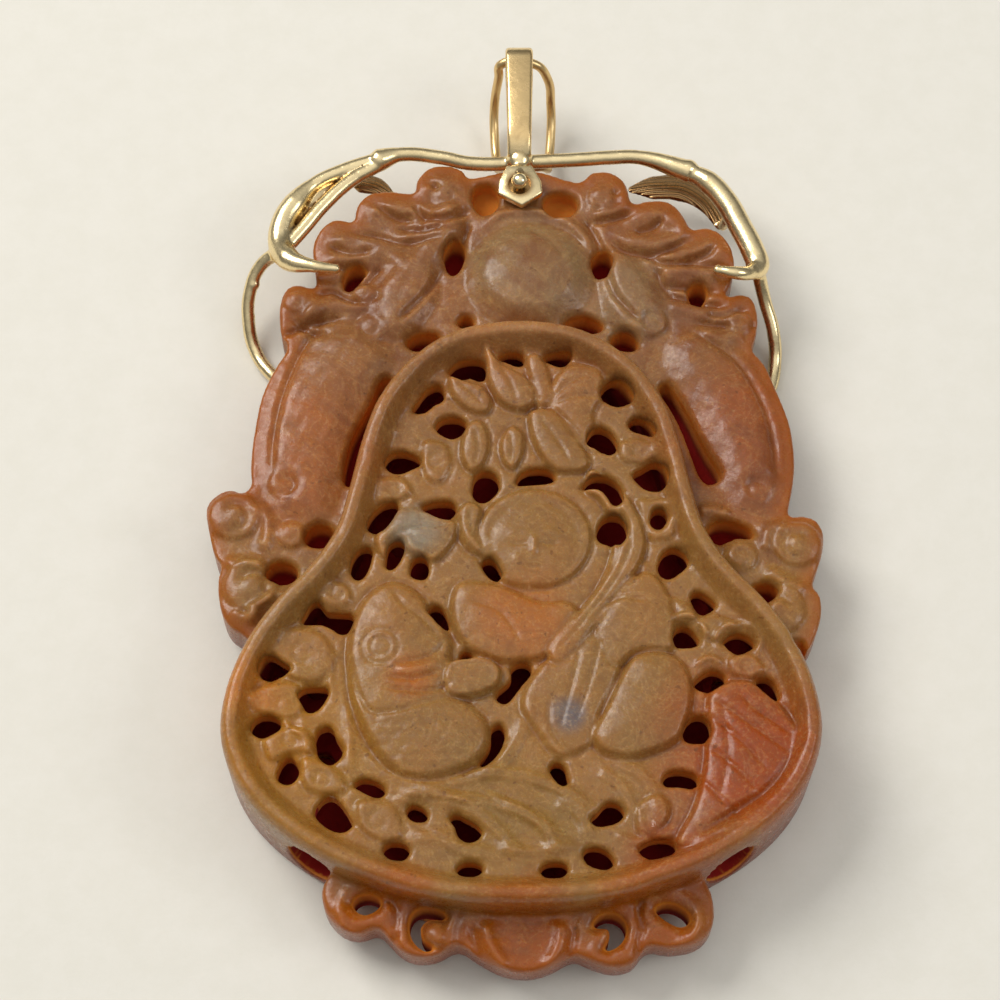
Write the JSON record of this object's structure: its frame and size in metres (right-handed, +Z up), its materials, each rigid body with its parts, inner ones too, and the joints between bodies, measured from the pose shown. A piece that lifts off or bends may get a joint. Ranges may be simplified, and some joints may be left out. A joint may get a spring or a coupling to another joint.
{
  "type": "carved jade pendant",
  "caption": "Hollow pierced jade pendant: gourd-shaped panel with raised rim, dragons and pearl above, lobed frill below, in a gold branch frame with claws and a hinged wire bail.",
  "frame": {"origin": "middle of the bounding box at its lowest level: the pendant lies on its flat back", "axes": "+X to the right of the carved face, +Y towards the bail, +Z up out of the carved face"},
  "size_m": [0.053, 0.0846, 0.0107],
  "materials": {
    "jade": "waxy polish",
    "gold": "soft worn polish",
    "bright_gold": "polished"
  },
  "bodies": {
    "pendant": {"jade_carving": "jade", "gold_frame": "gold", "bezel_bead": "bright_gold"},
    "loop": {"bail_loop": "gold"}
  },
  "joints": [
    {"name": "bail_hinge", "type": "hinge", "parent": "pendant", "child": "loop", "pos_m": [0.00055, 0.04084, 0.0073], "axis": [1, 0, 0], "range_deg": [0, 50]}
  ]
}
